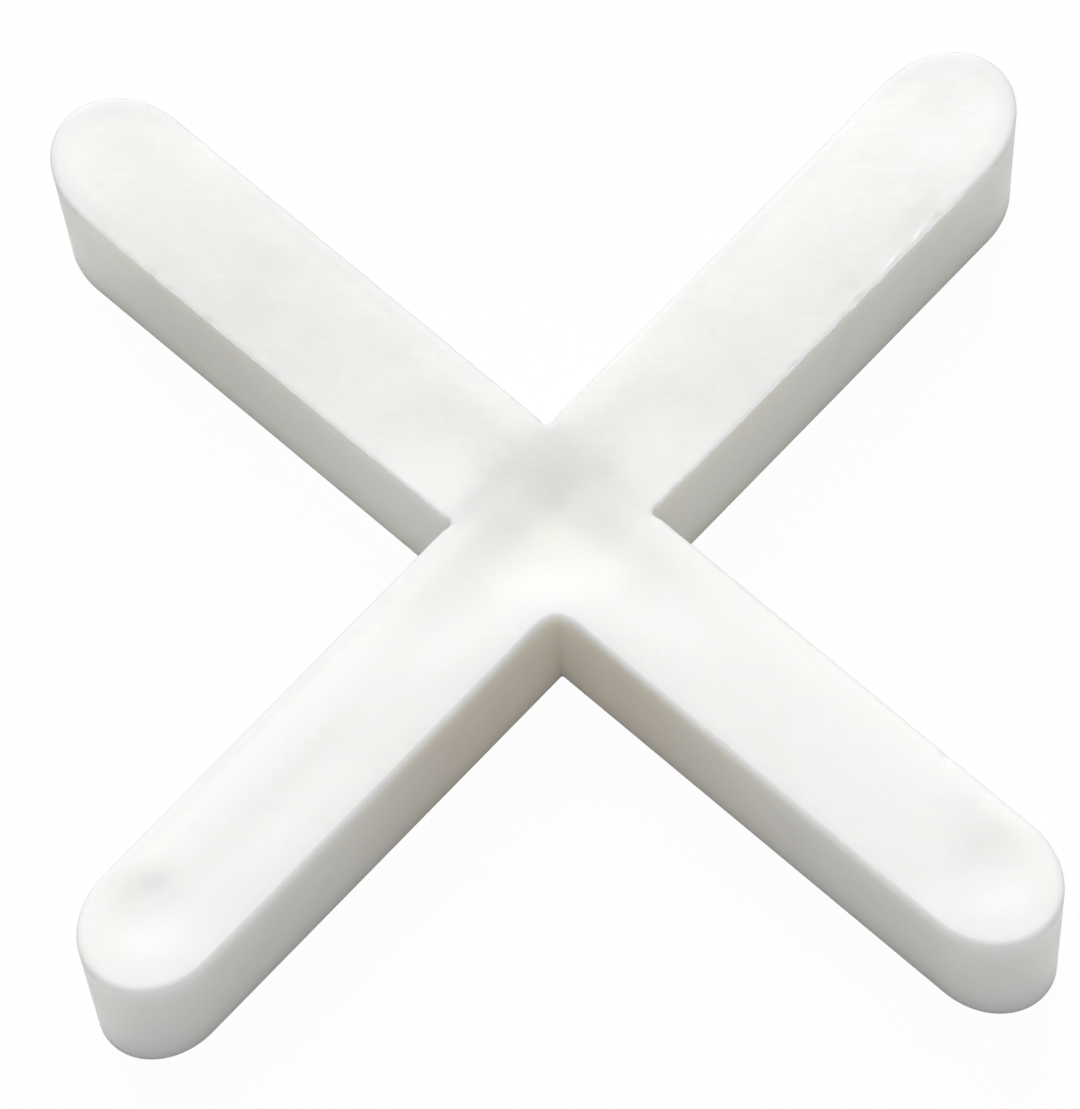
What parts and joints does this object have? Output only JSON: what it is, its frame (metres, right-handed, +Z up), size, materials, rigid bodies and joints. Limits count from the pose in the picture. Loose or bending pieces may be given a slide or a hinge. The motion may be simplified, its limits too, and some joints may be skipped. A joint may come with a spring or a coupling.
{
  "type": "tile spacer",
  "caption": "Flat cross of white plastic with round-ended arms, set between the corners of tiles to keep an even joint.",
  "frame": {"origin": "centre of the flat underside, below the middle of the crossing", "axes": "+Z up, square to the flat faces; +X and +Y along two neighbouring arms"},
  "size_m": [0.028, 0.028, 0.0042],
  "materials": {
    "white_plastic": "satin, slightly uneven moulded surface"
  },
  "bodies": {
    "root": {"cross_spacer": "white_plastic"}
  },
  "joints": []
}
